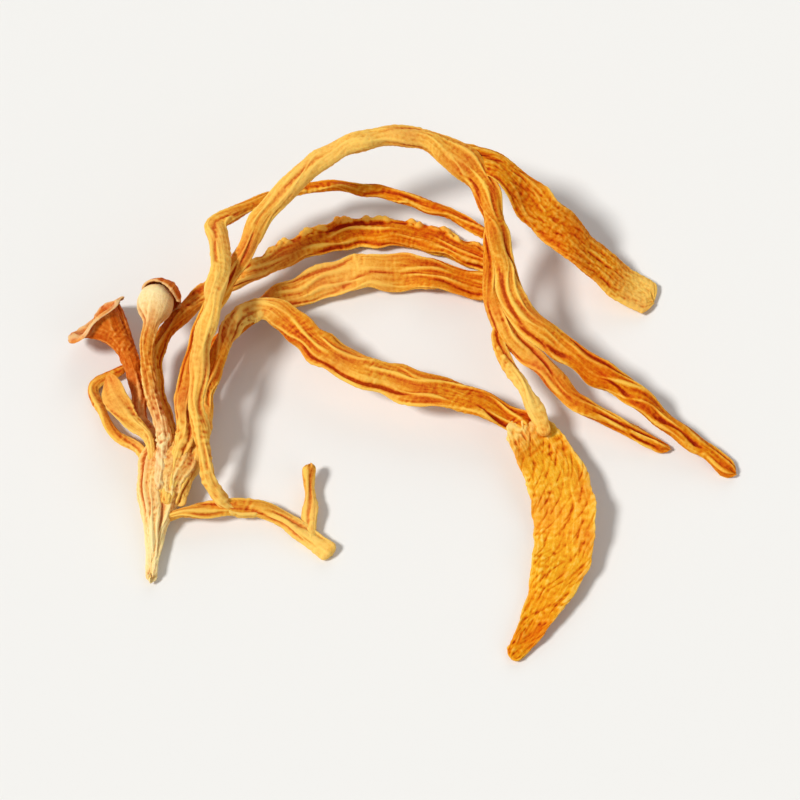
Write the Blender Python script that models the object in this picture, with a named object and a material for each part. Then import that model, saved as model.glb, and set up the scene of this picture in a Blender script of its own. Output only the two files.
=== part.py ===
"""A tuft of dried cordyceps: stems grown together at one foot, laid on a table.

The tuft lies on its side. +X runs from the foot towards the far end of the longest stem,
+Y runs from the foot up the stems, and +Z is up from the table. The origin is on the
table, under the middle of the tuft.

Every stem is a loft between unlike sections: round near the foot, and a flat twisted
ribbon further on. A section below the table is pressed flat on it, as the dried stem is.
"""

import math

import bmesh
import bpy
import numpy as np

MM = 0.001
TABLE_Z = 0.0
RING_STEP = 1.25
SIDES = 10
GAP = 0.3
FOOT_END_Y = -9.2
MERGE = 0.00001

# How far round its quarter ellipse each ring of a blunt tip stands, in degrees.
TIP_TURNS = (25.0, 50.0, 75.0)

# The middle of the tuft on the table, in the stations' own coordinates.
MIDDLE = (-0.6, -4.5, 0.0)

# Each station of a route: x, y, z, width, thickness in millimetres, and twist in degrees.
# Width lies across the route and level with the table where the twist is 0.
FOOT = [
    (-24.7, -21.8, 0.8, 1.2, 1.2, 0),
    (-24.5, -19.6, 0.9, 1.5, 1.4, 0),
    (-24.5, -17.9, 1.1, 2.3, 2.1, 0),
    (-24.4, -16.2, 1.4, 3.4, 3.0, 0),
    (-24.2, -14.0, 1.7, 4.8, 3.8, 0),
    (-23.6, -11.4, 2.0, 6.4, 4.2, 0),
    (-23.1, -9.2, 2.2, 7.6, 4.4, 0),
]
ARCH = [
    (-22.0, -8.9, 3.6, 1.9, 1.5, 0),
    (-22.0, -5.6, 4.6, 1.9, 1.6, 0),
    (-21.2, -0.6, 5.6, 2.0, 1.6, 10),
    (-19.8, 3.4, 6.3, 2.0, 1.6, 15),
    (-18.0, 7.0, 7.0, 2.0, 1.6, 0),
    (-16.2, 10.2, 8.2, 2.0, 1.7, -20),
    (-14.2, 13.2, 9.7, 2.1, 1.7, -20),
    (-11.4, 16.0, 11.0, 2.2, 1.8, -10),
    (-8.2, 18.4, 11.8, 2.4, 1.8, 10),
    (-5.0, 20.0, 12.2, 2.4, 1.8, 25),
    (-1.6, 20.7, 12.1, 2.3, 1.8, 20),
    (1.8, 20.4, 11.6, 2.4, 1.8, 0),
    (4.8, 19.0, 11.0, 2.6, 1.8, -15),
]
TAIL = [
    (6.8, 17.2, 10.2, 2.5, 1.7, -10),
    (8.0, 14.6, 9.5, 2.3, 1.6, 0),
    (8.9, 11.2, 8.7, 2.6, 1.5, 15),
    (9.5, 7.4, 7.8, 2.7, 1.5, 25),
    (10.8, 3.9, 6.8, 2.8, 1.5, 10),
    (13.4, 1.2, 5.8, 2.9, 1.5, -15),
    (16.8, -0.8, 4.7, 2.8, 1.5, -30),
    (20.6, -3.0, 3.6, 2.6, 1.5, -15),
    (24.4, -5.7, 2.5, 2.4, 1.4, 10),
    (28.0, -8.4, 1.3, 2.2, 1.4, 20),
    (31.4, -10.8, 0.5, 1.8, 1.3, 0),
]
TAIL_LOWER = [
    (8.2, 9.6, 6.4, 1.5, 1.2, 10),
    (8.2, 6.6, 6.0, 1.9, 1.2, 10),
    (8.8, 3.6, 5.5, 2.1, 1.2, 0),
    (9.8, 1.7, 5.0, 2.2, 1.3, -10),
    (11.2, 0.5, 4.6, 2.3, 1.3, -20),
    (12.9, -0.9, 4.0, 2.3, 1.3, -20),
    (14.6, -2.7, 3.4, 2.3, 1.3, -10),
    (16.4, -4.6, 2.8, 2.2, 1.2, 10),
    (19.2, -5.9, 2.1, 2.0, 1.2, 15),
    (22.2, -7.2, 1.3, 1.8, 1.2, 10),
    (25.0, -8.4, 0.5, 1.6, 1.2, 0),
]
TWIG = [
    (8.4, 0.6, 4.5, 1.3, 1.1, 0),
    (9.6, -1.4, 4.6, 1.5, 1.1, 10),
    (11.2, -3.8, 4.6, 1.7, 1.1, 10),
    (12.6, -6.4, 4.2, 1.7, 1.0, 0),
]
BLADE = [
    (8.7, 18.2, 10.5, 1.7, 1.0, 0),
    (10.6, 16.7, 9.6, 3.2, 1.1, -10),
    (13.2, 14.8, 7.6, 3.9, 1.1, -15),
    (16.6, 12.6, 5.2, 4.1, 1.1, -10),
    (19.6, 10.8, 3.1, 4.3, 1.1, 5),
    (22.4, 9.4, 1.3, 4.4, 1.1, 10),
    (24.4, 8.5, 0.4, 3.6, 1.3, 0),
]
KINKED = [
    (-18.4, -15.0, 2.9, 1.5, 1.4, 0),
    (-19.5, -12.4, 4.0, 1.5, 1.4, 0),
    (-20.2, -9.6, 5.4, 1.6, 1.4, 0),
    (-20.5, -5.6, 6.8, 1.8, 1.4, 10),
    (-20.2, -1.0, 8.0, 2.0, 1.4, 15),
    (-19.2, 3.2, 8.9, 2.1, 1.4, 5),
    (-18.6, 7.2, 9.2, 2.1, 1.4, -10),
    (-19.0, 10.6, 9.1, 2.2, 1.4, -10),
    (-19.2, 12.6, 8.6, 2.3, 1.5, 0),
    (-17.4, 14.4, 7.8, 1.8, 1.3, 20),
    (-13.8, 16.8, 6.9, 1.4, 1.0, 25),
    (-8.6, 18.8, 5.8, 1.4, 0.9, 10),
    (-2.2, 18.6, 4.8, 1.5, 0.9, -15),
    (3.8, 16.6, 4.2, 1.4, 0.9, -20),
    (7.6, 14.4, 3.9, 1.2, 0.9, 0),
]
RIBBON_UPPER = [
    (-23.0, -8.9, 1.4, 1.7, 1.6, 0),
    (-24.2, -6.0, 2.2, 1.7, 1.5, 0),
    (-25.2, -2.4, 3.0, 1.8, 1.5, 10),
    (-25.0, 1.4, 3.5, 1.9, 1.5, 15),
    (-22.8, 4.8, 3.9, 1.9, 1.5, 10),
    (-19.6, 7.6, 4.0, 2.0, 1.4, 0),
    (-16.0, 9.8, 3.8, 2.1, 1.3, -10),
    (-12.4, 12.4, 3.0, 2.6, 1.3, -20),
    (-8.6, 14.8, 2.0, 3.1, 1.3, -15),
    (-5.0, 16.2, 1.0, 3.6, 1.4, 0),
    (-1.0, 16.4, 0.6, 3.6, 1.4, 10),
    (3.2, 15.2, 0.6, 3.3, 1.4, 5),
    (6.6, 13.6, 0.6, 2.7, 1.3, 0),
    (9.0, 12.4, 0.6, 2.2, 1.3, 0),
]
RIBBON_LOWER = [
    (-21.0, -8.9, 1.4, 1.7, 1.6, 0),
    (-21.4, -5.6, 1.5, 1.8, 1.5, 0),
    (-20.8, -1.2, 1.6, 1.9, 1.4, 10),
    (-19.0, 2.8, 1.7, 2.0, 1.4, 20),
    (-16.2, 5.8, 1.7, 2.5, 1.3, 15),
    (-12.6, 8.2, 1.6, 3.1, 1.2, 0),
    (-8.4, 10.2, 1.5, 3.8, 1.2, -10),
    (-4.2, 11.2, 1.4, 4.2, 1.2, -10),
    (0.8, 11.2, 1.3, 4.1, 1.2, 0),
    (5.6, 10.2, 1.2, 3.5, 1.2, 10),
    (10.4, 8.6, 1.1, 2.6, 1.2, 5),
]
FRONT = [
    (-20.1, -8.9, 3.1, 1.5, 1.3, 0),
    (-20.0, -5.4, 3.2, 1.7, 1.4, 0),
    (-19.4, -1.2, 3.5, 1.9, 1.4, 5),
    (-18.2, 2.2, 4.0, 2.2, 1.4, 5),
    (-16.4, 4.6, 4.4, 2.5, 1.4, 0),
    (-14.0, 5.0, 4.6, 2.9, 1.4, -10),
    (-11.6, 3.4, 4.5, 3.1, 1.4, -15),
    (-8.8, 0.8, 4.2, 3.4, 1.4, -15),
    (-5.2, -1.4, 3.8, 3.8, 1.4, -5),
    (-1.0, -2.8, 3.5, 4.0, 1.3, 5),
    (3.6, -3.9, 3.3, 3.9, 1.3, 10),
    (7.4, -5.1, 3.1, 3.4, 1.2, 5),
    (10.2, -6.5, 2.9, 2.8, 1.2, 0),
]
FRONT_BLADE = [
    (11.2, -7.4, 2.7, 3.4, 1.1, 0),
    (12.9, -9.8, 2.5, 5.2, 1.1, 0),
    (14.6, -13.2, 2.3, 6.3, 1.1, -5),
    (15.2, -17.4, 2.0, 6.6, 1.1, -10),
    (14.3, -22.4, 1.5, 5.4, 1.1, -10),
    (12.2, -26.8, 0.9, 3.6, 1.1, -5),
    (10.0, -30.2, 0.4, 2.0, 1.1, 0),
]
FAN = [
    (-24.9, -8.9, 1.5, 1.6, 1.6, 0),
    (-26.2, -6.2, 1.7, 1.5, 1.4, 0),
    (-26.9, -3.2, 2.0, 1.7, 1.3, 0),
    (-27.4, -0.6, 2.3, 2.0, 1.3, 0),
    (-28.4, 1.8, 2.6, 3.0, 1.5, 0),
    (-29.9, 3.5, 2.7, 4.2, 2.0, 0),
    (-31.2, 4.7, 2.5, 5.0, 2.4, 0),
]
KNOB = [
    (-23.9, -8.9, 3.6, 1.4, 1.3, 0),
    (-24.9, -6.0, 4.4, 1.4, 1.3, 0),
    (-25.6, -2.4, 5.2, 1.4, 1.3, 0),
    (-25.8, 0.8, 5.7, 1.5, 1.4, 0),
    (-25.5, 2.4, 5.9, 1.9, 1.8, 0),
    (-25.3, 3.5, 6.0, 3.1, 2.9, 0),
    (-25.2, 4.7, 6.0, 3.6, 3.4, 0),
    (-25.1, 5.7, 6.0, 3.1, 2.9, 0),
    (-25.1, 6.2, 6.0, 2.2, 2.1, 0),
]
LOOP = [
    (-26.5, -9.1, 1.3, 1.2, 1.2, 0),
    (-28.6, -7.8, 1.2, 1.1, 1.1, 0),
    (-30.4, -5.0, 0.8, 1.1, 1.1, 0),
    (-31.6, -2.2, 0.5, 1.2, 1.1, 0),
    (-31.2, -1.1, 0.6, 1.2, 1.1, 0),
    (-30.2, -0.5, 0.7, 1.1, 1.0, 0),
    (-29.0, 0.0, 0.8, 1.0, 0.9, 0),
]
LEAF = [
    (-25.5, -8.9, 3.6, 1.2, 1.2, 0),
    (-27.2, -7.2, 3.9, 1.9, 0.9, 0),
    (-28.7, -5.0, 3.9, 2.5, 0.8, 10),
    (-29.6, -2.6, 3.6, 1.8, 0.8, 15),
]
HOOKED = [
    (-22.0, -16.3, 1.6, 1.2, 1.4, 0),
    (-20.6, -16.0, 1.6, 1.5, 1.5, 0),
    (-18.2, -15.6, 1.6, 1.8, 1.5, 0),
    (-15.4, -15.4, 1.4, 1.7, 1.4, 0),
    (-12.4, -16.4, 1.0, 1.6, 1.3, 0),
    (-10.0, -18.0, 0.7, 1.9, 1.4, 0),
    (-8.0, -19.6, 0.6, 2.0, 1.4, 0),
]
HOOK_STUB = [
    (-9.6, -11.4, 1.5, 1.2, 1.2, 0),
    (-9.8, -14.4, 1.1, 1.3, 1.2, 0),
    (-9.6, -17.6, 0.7, 1.4, 1.3, 0),
]

# Linear colour and roughness of each kind of dried flesh.
ORANGE = ((0.80, 0.31, 0.04), 0.62)
PALE = ((0.86, 0.60, 0.27), 0.75)
BROWN = ((0.50, 0.14, 0.02), 0.60)


def clear_scene():
    """Removes every object, so that the tuft is alone."""
    for existing in list(bpy.data.objects):
        bpy.data.objects.remove(existing, do_unlink=True)


def flesh(name, finish):
    """Makes the material of one kind of dried flesh."""
    colour, roughness = finish
    material = bpy.data.materials.new(name)
    material.use_nodes = True
    shader = material.node_tree.nodes["Principled BSDF"]
    shader.inputs["Base Color"].default_value = (*colour, 1.0)
    shader.inputs["Roughness"].default_value = roughness
    shader.inputs["Metallic"].default_value = 0.0
    return material


def read_route(stations):
    """Reads a smooth curve through the stations at an even step.

    Each stretch is a Catmull-Rom cubic through its two stations, with slopes from their
    neighbours. All six values of a station run along the same cubic.
    """
    fixed = np.array(stations, float)
    before = 2 * fixed[0] - fixed[1]
    after = 2 * fixed[-1] - fixed[-2]
    padded = np.vstack([before, fixed, after])
    rows = []
    for a, b, c, d in zip(padded, padded[1:], padded[2:], padded[3:]):
        count = max(1, round(float(np.linalg.norm(c[:3] - b[:3])) / RING_STEP))
        t = (np.arange(count) / count)[:, None]
        rows.append(
            b
            + 0.5 * t * (c - a)
            + t**2 * (a - 2.5 * b + 2 * c - 0.5 * d)
            + 0.5 * t**3 * (3 * b - 3 * c + d - a)
        )
    rows.append(fixed[-1:])
    return np.vstack(rows)


def blunt_tip(end, inner):
    """Gives the rows past an end that shrink on a quarter ellipse, outermost last."""
    outward = end[:3] - inner[:3]
    outward /= np.linalg.norm(outward)
    angle = np.radians(TIP_TURNS)[:, None]
    tip = np.repeat(end[None], len(TIP_TURNS), axis=0)
    tip[:, :3] += np.sin(angle) * end[4] / 2 * outward
    tip[:, 3:5] *= np.cos(angle)
    return tip


def rings_along(rows):
    """Stands an elliptical ring square to the route at every row.

    The ring's width is level with the table and its thickness square to the width, both
    turned about the route by the twist. What would be below the table is pressed flat.
    """
    centres, width, thick = rows[:, :3], rows[:, 3:4], rows[:, 4:5]
    along = np.gradient(centres, axis=0)
    along /= np.linalg.norm(along, axis=1)[:, None]
    level = np.cross(along, (0.0, 0.0, 1.0))
    level /= np.linalg.norm(level, axis=1)[:, None]
    up = np.cross(level, along)
    twist = np.radians(rows[:, 5:6])
    side = (level * np.cos(twist) + up * np.sin(twist)) * width / 2
    top = (up * np.cos(twist) - level * np.sin(twist)) * thick / 2
    angle = (np.arange(SIDES) / SIDES * 2 * math.pi)[None, :, None]
    rings = centres[:, None] + side[:, None] * np.cos(angle) + top[:, None] * np.sin(angle)
    rings[:, :, 2] = np.maximum(rings[:, :, 2], TABLE_Z)
    return rings


def skin(rings):
    """Closes a row of rings into one solid."""
    shape = bmesh.new()
    placed = (rings - MIDDLE) * MM
    verts = [[shape.verts.new(point) for point in ring] for ring in placed]
    for near, far in zip(verts, verts[1:]):
        for k in range(SIDES):
            n = (k + 1) % SIDES
            shape.faces.new((near[k], near[n], far[n], far[k]))
    shape.faces.new(verts[0][::-1])
    shape.faces.new(verts[-1])
    bmesh.ops.remove_doubles(shape, verts=shape.verts, dist=MERGE)
    bmesh.ops.triangulate(shape, faces=shape.faces)
    bmesh.ops.recalc_face_normals(shape, faces=shape.faces)
    return shape


def foot():
    """Lofts the foot, blunt at its root and broken square where the stems leave it."""
    rows = read_route(FOOT)
    rings = rings_along(np.vstack([blunt_tip(rows[0], rows[1])[::-1], rows]))
    rings[:, :, 1] = np.minimum(rings[:, :, 1], FOOT_END_Y)
    return skin(rings)


def stem(stations):
    """Lofts a stem that starts square on the foot and ends in a blunt tip."""
    rows = read_route(stations)
    rings = rings_along(np.vstack([rows, blunt_tip(rows[-1], rows[-2])]))
    rings[:, :, 1] = np.maximum(rings[:, :, 1], FOOT_END_Y + GAP)
    return skin(rings)


def branch(stations, blunt_start=False):
    """Lofts a side branch that starts beside another piece."""
    rows = read_route(stations)
    parts = [rows, blunt_tip(rows[-1], rows[-2])]
    if blunt_start:
        parts.insert(0, blunt_tip(rows[0], rows[1])[::-1])
    return skin(rings_along(np.vstack(parts)))


def arch_and_tail():
    """Lofts the long arched stem in one sweep and parts it at its fork."""
    before_fork = read_route(ARCH)
    rows = read_route(ARCH + TAIL)
    rows = np.vstack([rows, blunt_tip(rows[-1], rows[-2])])
    rings = rings_along(rows)
    fork = len(before_fork) - 1
    onward = rows[fork + 1, :3] - rows[fork, :3]
    onward /= np.linalg.norm(onward)
    arch = rings[: fork + 1].copy()
    arch[:, :, 1] = np.maximum(arch[:, :, 1], FOOT_END_Y + GAP)
    tail = rings[fork:].copy()
    tail[0] += onward * GAP
    return skin(arch), skin(tail)


def add_part(name, shape, material, collection):
    """Turns a bmesh into one named, smooth-shaded object."""
    mesh = bpy.data.meshes.new(name)
    shape.to_mesh(mesh)
    shape.free()
    mesh.shade_smooth()
    part = bpy.data.objects.new(name, mesh)
    part.data.materials.append(material)
    collection.objects.link(part)
    return part


def join_stub(part, stub, cutters):
    """Joins a side stub to a stem with a Boolean union and keeps the stub as a guide."""
    cutters.objects.link(stub)
    stub.hide_render = True
    stub.display_type = "WIRE"
    union = part.modifiers.new("join_stub", "BOOLEAN")
    union.operation = "UNION"
    union.solver = "EXACT"
    union.object = stub


def build():
    """Builds the whole tuft."""
    clear_scene()
    scene = bpy.context.scene
    tuft = bpy.data.collections.new("dried_cordyceps")
    cutters = bpy.data.collections.new("cutters")
    scene.collection.children.link(tuft)
    scene.collection.children.link(cutters)

    orange = flesh("orange_flesh", ORANGE)
    pale = flesh("pale_foot_flesh", PALE)
    brown = flesh("brown_head_flesh", BROWN)

    arch, tail = arch_and_tail()
    add_part("root_base", foot(), pale, tuft)
    add_part("stem_arch", arch, orange, tuft)
    add_part("arch_tail", tail, orange, tuft)
    add_part("arch_blade", branch(BLADE), orange, tuft)
    add_part("tail_lower", branch(TAIL_LOWER), orange, tuft)
    add_part("tail_twig", branch(TWIG), orange, tuft)
    add_part("stem_front", stem(FRONT), orange, tuft)
    add_part("front_blade", branch(FRONT_BLADE), orange, tuft)
    add_part("stem_kinked", branch(KINKED), orange, tuft)
    add_part("stem_ribbon_upper", stem(RIBBON_UPPER), orange, tuft)
    add_part("stem_ribbon_lower", stem(RIBBON_LOWER), orange, tuft)
    add_part("stem_fan", stem(FAN), brown, tuft)
    add_part("stem_knob", stem(KNOB), pale, tuft)
    add_part("stem_loop", stem(LOOP), orange, tuft)
    add_part("stem_leaf", stem(LEAF), orange, tuft)
    hooked = add_part("stem_hooked", branch(HOOKED), orange, tuft)

    stub_mesh = bpy.data.meshes.new("hook_stub")
    stub_shape = branch(HOOK_STUB, blunt_start=True)
    stub_shape.to_mesh(stub_mesh)
    stub_shape.free()
    join_stub(hooked, bpy.data.objects.new("hook_stub", stub_mesh), cutters)


build()
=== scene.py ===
"""The looks of a dried cordyceps tuft, laid on a pale table.

Every stem is one continuous skin: a ring of points carried along the stem's route, raised
into pleats, fibres, crepe, creases and grains, and pressed flat where it meets the table.
The brown stem ends in an open trumpet, and the pale knob wears a loose brown hood.
Lengths are in millimetres until a mesh is written. Seeds fix every random draw.
"""

import math

import bpy
import numpy as np
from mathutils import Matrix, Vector


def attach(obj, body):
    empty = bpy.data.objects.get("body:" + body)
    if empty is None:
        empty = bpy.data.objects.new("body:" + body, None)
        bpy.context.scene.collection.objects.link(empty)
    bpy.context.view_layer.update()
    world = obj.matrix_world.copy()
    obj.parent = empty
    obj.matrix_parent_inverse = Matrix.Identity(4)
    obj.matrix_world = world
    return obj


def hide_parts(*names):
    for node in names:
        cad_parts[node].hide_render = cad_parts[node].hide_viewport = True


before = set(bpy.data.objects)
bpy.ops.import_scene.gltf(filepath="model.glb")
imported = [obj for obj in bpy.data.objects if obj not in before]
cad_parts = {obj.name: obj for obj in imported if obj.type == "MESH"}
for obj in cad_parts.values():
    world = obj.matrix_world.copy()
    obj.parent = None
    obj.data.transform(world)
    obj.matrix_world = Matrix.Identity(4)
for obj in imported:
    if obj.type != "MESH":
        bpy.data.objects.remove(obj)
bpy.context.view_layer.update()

MM = 0.001
TURN = 2.0 * math.pi

# The table top: a skin that would dip below it is pressed flat on it.
TABLE_Z = 0.0

# Steps of a skin's grid, along a stem and round it.
RING_STEP = 0.12
POINT_STEP = 0.085

# Half widths of the folds: long grooves, pleats between them, fibres and slanting creases.
GROOVE_WIDE = 0.24
PLEAT_WIDE = 0.155
FIBRE_WIDE = 0.08
CREASE_WIDE = 0.10

# Spacing round a stem of the fibres, creases and pits, and the rise of fibres and crumples.
FIBRE_SPACING = 0.30
CREASE_SPACING = 0.36
PIT_SPACING = 0.46
FIBRE_RISE = 0.045
CRUMPLE_RISE = 0.07

# A place with less than this half thickness is too thin to fold fully.
THIN = 0.35

# A crest is judged against the skin's average height within a reach, over a range of heights; from it
# the colour paints shade in the hollows and a highlight on the crests.
CREST_REACH = 0.42
CREST_RANGE = 0.21
CREST_LEVEL = 0.47

# A tip's ellipse stops just short of nothing, so that its first ring keeps a width.
TIP_CLOSED = 0.9998

# The middle of the tuft on the table, in the stations' own coordinates.
MIDDLE = np.array((-0.6, -4.5, 0.0))

# ---------------------------------------------------------------------------
# Routes. A station is x, y, z, width, thickness (mm) and twist (degrees).
# ---------------------------------------------------------------------------

FOOT = [
    (-24.8, -22.6, 0.8, 1.1, 1.1, 0),
    (-24.7, -21.6, 0.8, 1.2, 1.2, 0),
    (-24.5, -19.6, 0.9, 1.4, 1.3, 0),
    (-24.5, -17.9, 1.1, 2.2, 2.0, 0),
    (-24.4, -16.2, 1.4, 3.3, 2.9, 0),
    (-24.2, -14.0, 1.7, 4.6, 3.6, 0),
    (-23.6, -11.4, 2.0, 5.9, 3.9, 0),
    (-23.1, -9.2, 2.2, 6.4, 3.8, 0),
    (-22.9, -7.4, 2.4, 5.2, 2.8, 0),
]
ARCH_AND_TAIL = [
    (-23.6, -15.6, 2.4, 1.3, 1.1, 0),
    (-22.8, -12.4, 3.1, 1.6, 1.3, 0),
    (-22.0, -8.9, 3.8, 1.9, 1.5, 0),
    (-22.0, -5.6, 4.6, 1.9, 1.6, 0),
    (-21.2, -0.6, 5.6, 2.0, 1.6, 10),
    (-19.8, 3.4, 6.3, 2.0, 1.6, 15),
    (-18.0, 7.0, 7.0, 2.0, 1.6, 0),
    (-16.2, 10.2, 8.2, 2.0, 1.7, -20),
    (-14.2, 13.2, 9.7, 2.1, 1.7, -20),
    (-11.4, 16.0, 11.0, 2.2, 1.8, -10),
    (-8.2, 18.4, 11.8, 2.4, 1.8, 10),
    (-5.0, 20.0, 12.2, 2.4, 1.8, 25),
    (-1.6, 20.7, 12.1, 2.3, 1.8, 20),
    (1.8, 20.4, 11.6, 2.5, 1.8, 0),
    (4.8, 19.0, 11.0, 3.3, 1.8, -15),
    (6.8, 17.2, 10.2, 3.1, 1.7, -10),
    (8.0, 14.6, 9.5, 2.4, 1.6, 0),
    (8.9, 11.2, 8.7, 2.6, 1.5, 15),
    (9.5, 7.4, 7.8, 2.7, 1.5, 25),
    (10.8, 3.9, 6.8, 2.8, 1.5, 10),
    (13.4, 1.2, 5.8, 2.9, 1.5, -15),
    (16.8, -0.8, 4.7, 2.8, 1.5, -30),
    (20.6, -3.0, 3.6, 2.6, 1.5, -15),
    (24.4, -5.7, 2.5, 2.4, 1.4, 10),
    (28.0, -8.4, 1.3, 2.2, 1.4, 20),
    (31.4, -10.8, 0.5, 1.8, 1.3, 0),
    (32.0, -11.2, 0.5, 1.7, 1.2, 0),
]
TAIL_LOWER = [
    (8.3, 14.2, 9.0, 1.2, 0.9, 10),
    (8.2, 12.0, 7.8, 1.4, 1.1, 10),
    (8.2, 9.6, 6.7, 1.6, 1.2, 10),
    (8.2, 6.6, 6.0, 1.9, 1.2, 10),
    (8.8, 3.6, 5.5, 2.1, 1.2, 0),
    (9.8, 1.7, 5.0, 2.2, 1.3, -10),
    (11.2, 0.5, 4.6, 2.3, 1.3, -20),
    (12.9, -0.9, 4.0, 2.3, 1.3, -20),
    (14.6, -2.7, 3.4, 2.3, 1.3, -10),
    (16.4, -4.6, 2.8, 2.2, 1.2, 10),
    (19.2, -5.9, 2.1, 2.0, 1.2, 15),
    (22.2, -7.2, 1.3, 1.8, 1.2, 10),
    (25.0, -8.4, 0.5, 1.6, 1.2, 0),
    (25.5, -8.6, 0.5, 1.5, 1.2, 0),
]
TWIG = [
    (9.0, 3.0, 5.0, 1.0, 0.8, 0),
    (8.7, 1.4, 4.8, 1.3, 1.0, 0),
    (9.6, -1.2, 4.7, 1.5, 1.1, 10),
    (11.2, -3.8, 4.6, 1.7, 1.1, 10),
    (12.5, -6.4, 4.1, 1.8, 1.0, 0),
    (13.4, -8.6, 3.3, 1.5, 0.8, 0),
]
ARCH_BLADE = [
    (4.6, 19.3, 11.0, 2.2, 1.0, 0),
    (6.6, 18.9, 10.8, 3.0, 1.1, 0),
    (8.7, 18.1, 10.4, 3.6, 1.1, 0),
    (10.6, 16.7, 9.6, 3.8, 1.1, -10),
    (13.2, 14.8, 7.6, 4.1, 1.1, -15),
    (16.6, 12.6, 5.2, 4.2, 1.1, -10),
    (19.6, 10.8, 3.1, 4.3, 1.1, 5),
    (22.4, 9.4, 1.3, 4.3, 1.1, 10),
    (24.4, 8.5, 0.5, 3.9, 1.1, 0),
    (25.0, 8.2, 0.5, 3.6, 1.0, 0),
]
FRONT = [
    (-22.6, -15.4, 1.8, 1.2, 1.0, 0),
    (-21.4, -12.2, 2.5, 1.4, 1.2, 0),
    (-20.3, -8.9, 3.1, 1.6, 1.3, 0),
    (-20.0, -5.4, 3.2, 1.7, 1.4, 0),
    (-19.4, -1.2, 3.5, 1.9, 1.4, 5),
    (-18.2, 2.2, 4.0, 2.2, 1.4, 5),
    (-16.4, 4.6, 4.4, 2.5, 1.4, 0),
    (-14.0, 5.0, 4.6, 2.9, 1.4, -10),
    (-11.6, 3.4, 4.5, 3.1, 1.4, -15),
    (-8.8, 0.8, 4.2, 3.4, 1.4, -15),
    (-5.2, -1.4, 3.8, 3.8, 1.4, -5),
    (-1.0, -2.8, 3.5, 4.0, 1.3, 5),
    (3.6, -3.9, 3.3, 3.9, 1.3, 10),
    (7.4, -5.1, 3.1, 3.4, 1.2, 5),
    (10.2, -6.5, 2.9, 2.8, 1.2, 0),
    (11.6, -7.6, 2.8, 2.6, 1.0, 0),
]
FRONT_BLADE = [
    (10.7, -6.8, 2.9, 4.0, 0.9, 0),
    (11.6, -7.9, 2.8, 5.0, 1.0, 0),
    (12.9, -9.8, 2.5, 5.7, 1.0, 0),
    (14.4, -13.2, 2.3, 6.2, 1.0, -5),
    (15.0, -17.4, 2.0, 6.3, 1.0, -10),
    (14.2, -22.0, 1.5, 5.4, 1.0, -10),
    (12.3, -26.4, 0.9, 3.4, 1.0, -5),
    (10.0, -30.2, 0.5, 1.8, 1.0, 0),
    (9.6, -30.8, 0.5, 1.5, 0.9, 0),
]
KINKED = [
    (-14.6, -15.7, 1.2, 0.9, 0.7, 0),
    (-16.4, -15.9, 1.5, 1.2, 1.0, 0),
    (-17.9, -15.5, 2.0, 1.4, 1.2, 0),
    (-18.8, -14.2, 3.0, 1.5, 1.3, 0),
    (-19.5, -12.4, 4.0, 1.5, 1.4, 0),
    (-20.2, -9.6, 5.4, 1.6, 1.4, 0),
    (-20.5, -5.6, 6.8, 1.8, 1.4, 10),
    (-20.2, -1.0, 8.0, 2.0, 1.4, 15),
    (-19.2, 3.2, 8.9, 2.1, 1.4, 5),
    (-18.6, 7.2, 9.2, 2.1, 1.4, -10),
    (-19.0, 10.6, 9.1, 2.2, 1.4, -10),
    (-19.2, 12.6, 8.6, 2.3, 1.5, 0),
    (-17.4, 14.4, 7.8, 1.8, 1.3, 20),
    (-13.8, 16.8, 6.9, 1.4, 1.0, 25),
    (-8.6, 18.8, 5.8, 1.4, 0.9, 10),
    (-2.2, 18.6, 4.8, 1.5, 0.9, -15),
    (3.8, 16.6, 4.2, 1.4, 0.9, -20),
    (7.6, 14.4, 3.9, 1.2, 0.9, 0),
    (8.0, 14.2, 3.9, 1.1, 0.9, 0),
]
RIBBON_UPPER = [
    (-24.2, -15.8, 2.2, 1.1, 1.0, 0),
    (-23.8, -12.6, 2.8, 1.4, 1.2, 0),
    (-23.2, -8.9, 2.6, 1.7, 1.5, 0),
    (-24.2, -6.0, 2.5, 1.7, 1.5, 0),
    (-25.2, -2.4, 3.0, 1.8, 1.5, 10),
    (-25.0, 1.4, 3.5, 1.9, 1.5, 15),
    (-22.8, 4.8, 3.9, 1.9, 1.5, 10),
    (-19.6, 7.6, 4.0, 2.0, 1.4, 0),
    (-16.0, 9.8, 3.8, 2.1, 1.3, -10),
    (-12.4, 12.4, 3.0, 2.6, 1.3, -20),
    (-8.6, 14.8, 2.0, 3.1, 1.3, -15),
    (-5.0, 16.2, 1.0, 3.6, 1.4, 0),
    (-1.0, 16.4, 0.6, 3.6, 1.4, 10),
    (3.2, 15.2, 0.6, 3.3, 1.4, 5),
    (6.6, 13.6, 0.6, 2.7, 1.3, 0),
    (9.0, 12.4, 0.6, 2.2, 1.3, 0),
    (9.5, 12.2, 0.6, 2.0, 1.2, 0),
]
RIBBON_LOWER = [
    (-23.4, -15.2, 1.2, 1.2, 1.0, 0),
    (-22.2, -12.0, 1.4, 1.5, 1.3, 0),
    (-21.0, -8.9, 1.4, 1.7, 1.6, 0),
    (-21.4, -5.6, 1.5, 1.8, 1.5, 0),
    (-20.8, -1.2, 1.6, 1.9, 1.4, 10),
    (-19.0, 2.8, 1.7, 2.0, 1.4, 20),
    (-16.2, 5.8, 1.7, 2.5, 1.3, 15),
    (-12.6, 8.2, 1.6, 3.1, 1.2, 0),
    (-8.4, 10.2, 1.5, 3.8, 1.2, -10),
    (-4.2, 11.2, 1.4, 4.2, 1.2, -10),
    (0.8, 11.2, 1.3, 4.1, 1.2, 0),
    (5.6, 10.2, 1.2, 3.5, 1.2, 10),
    (10.4, 8.6, 1.1, 2.6, 1.2, 5),
    (11.0, 8.4, 1.1, 2.4, 1.1, 5),
]
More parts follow.
